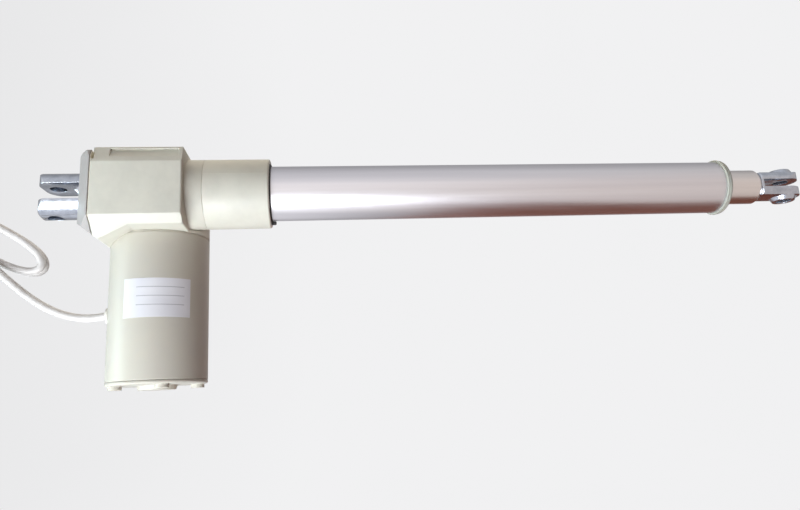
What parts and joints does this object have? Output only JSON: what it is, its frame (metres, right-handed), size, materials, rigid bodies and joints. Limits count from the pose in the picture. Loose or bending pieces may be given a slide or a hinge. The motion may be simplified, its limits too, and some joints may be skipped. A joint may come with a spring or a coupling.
{
  "type": "linear actuator",
  "caption": "Electric linear actuator: a side-hung geared motor turns a spindle that pushes a rod out of a round tube, with a slotted clevis at each end.",
  "frame": {"origin": "centre of the rear pin hole, on the tube's axis", "axes": "+X along the rod towards the front clevis, +Z along the rear pin away from the motor, +Y to the side the motor is offset to"},
  "size_m": [0.6609, 0.079, 0.1474],
  "materials": {
    "clevis_zinc": "bright zinc plate",
    "cover_plastic": "fine moulded grain",
    "housing_plastic": "fine moulded grain",
    "motor_cover_plastic": "smooth satin",
    "tube_anodised": "satin anodised",
    "rod_anodised": "satin anodised, fine drawn lines",
    "cap_plastic": "satin moulded",
    "bright_steel": "ground",
    "bearing_steel": "polished",
    "screw_steel": "zinc plated",
    "seal_rubber": "matt",
    "grommet_rubber": "pale moulded",
    "gasket_sheet": "pale sheet",
    "bush_plastic": "machined",
    "gear_plastic": "moulded",
    "nut_plastic": "moulded",
    "board_green": "solder mask",
    "switch_black": "moulded",
    "button_red": "moulded",
    "lead_red": "wire insulation",
    "cable_white": "smooth sheath",
    "strap_black": "woven",
    "plug_black": "moulded",
    "contact_brass": "bright",
    "label_film": "satin film",
    "can_steel": "zinc plated",
    "magnet_ferrite": "sintered",
    "bronze": "sintered",
    "holder_brown": "laminate",
    "carbon": "pressed carbon",
    "lamination_steel": "laminated",
    "copper": "enamelled wire",
    "worm_steel": "hobbed, oiled"
  },
  "bodies": {
    "housing": {"rear_clevis": "clevis_zinc", "clevis_dowel": "bright_steel", "rear_cover": "cover_plastic", "cover_gasket": "gasket_sheet", "cover_screws": "screw_steel", "gear_housing": "housing_plastic", "rear_bearing_outer": "bearing_steel", "rear_bearing_balls": "bearing_steel", "front_bearing_outer": "bearing_steel", "front_bearing_balls": "bearing_steel", "worm_bearing_outer": "bearing_steel", "worm_bearing_balls": "bearing_steel", "tube_collar": "housing_plastic", "tube_seal": "seal_rubber", "outer_tube": "tube_anodised", "guide_bush": "bush_plastic", "front_cap": "cap_plastic", "rod_wiper": "seal_rubber", "limit_strip": "board_green", "retract_switch": "switch_black", "extend_switch": "switch_black", "switch_wires": "lead_red", "motor_cover": "motor_cover_plastic", "cover_base": "motor_cover_plastic", "base_screws": "screw_steel", "motor_can": "can_steel", "motor_end_plate": "can_steel", "motor_screws": "screw_steel", "motor_magnets": "magnet_ferrite", "motor_bushes": "bronze", "brush_holder": "holder_brown", "brushes": "carbon", "brush_springs": "bright_steel", "motor_leads": "lead_red", "cable_grommet": "grommet_rubber", "power_cable": "cable_white", "cable_strap": "strap_black", "cable_plug": "plug_black", "plug_pins": "contact_brass", "rating_label": "label_film"},
    "motor_rotor": {"motor_shaft": "bright_steel", "rotor_core": "lamination_steel", "rotor_windings": "copper", "commutator": "copper", "worm": "worm_steel", "worm_bearing_inner": "bearing_steel"},
    "spindle_drive": {"spindle": "bright_steel", "worm_wheel": "gear_plastic", "wheel_key": "bright_steel", "rear_bearing_inner": "bearing_steel", "front_bearing_inner": "bearing_steel", "spindle_guide": "bush_plastic", "spindle_clip": "bright_steel"},
    "push_rod": {"inner_tube": "rod_anodised", "drive_nut": "nut_plastic", "nut_pins": "bright_steel", "front_clevis": "clevis_zinc"},
    "retract_button": {"retract_plunger": "button_red"},
    "extend_button": {"extend_plunger": "button_red"}
  },
  "joints": [
    {"name": "motor_spin", "type": "hinge", "parent": "housing", "child": "motor_rotor", "pos_m": [0.0595, 0.02, 0], "axis": [0, 0, 1], "range_deg": [0, 432000]},
    {"name": "spindle_spin", "type": "hinge", "parent": "housing", "child": "spindle_drive", "pos_m": [0.0595, 0, 0], "axis": [1, 0, 0], "range_deg": [-18000, 0]},
    {"name": "rod_slide", "type": "slide", "parent": "housing", "child": "push_rod", "axis": [1, 0, 0], "range_m": [0, 0.3]},
    {"name": "retract_press", "type": "slide", "parent": "housing", "child": "retract_button", "axis": [-1, 0, 0], "range_m": [0, 0.001], "stiffness_N_per_m": 100},
    {"name": "extend_press", "type": "slide", "parent": "housing", "child": "extend_button", "axis": [1, 0, 0], "range_m": [0, 0.001], "stiffness_N_per_m": 100}
  ],
  "couplings": [
    {"joint": "spindle_spin", "follows": "motor_spin", "ratio": -0.041667},
    {"joint": "rod_slide", "follows": "motor_spin", "m_per_rad": 0.000039789}
  ]
}
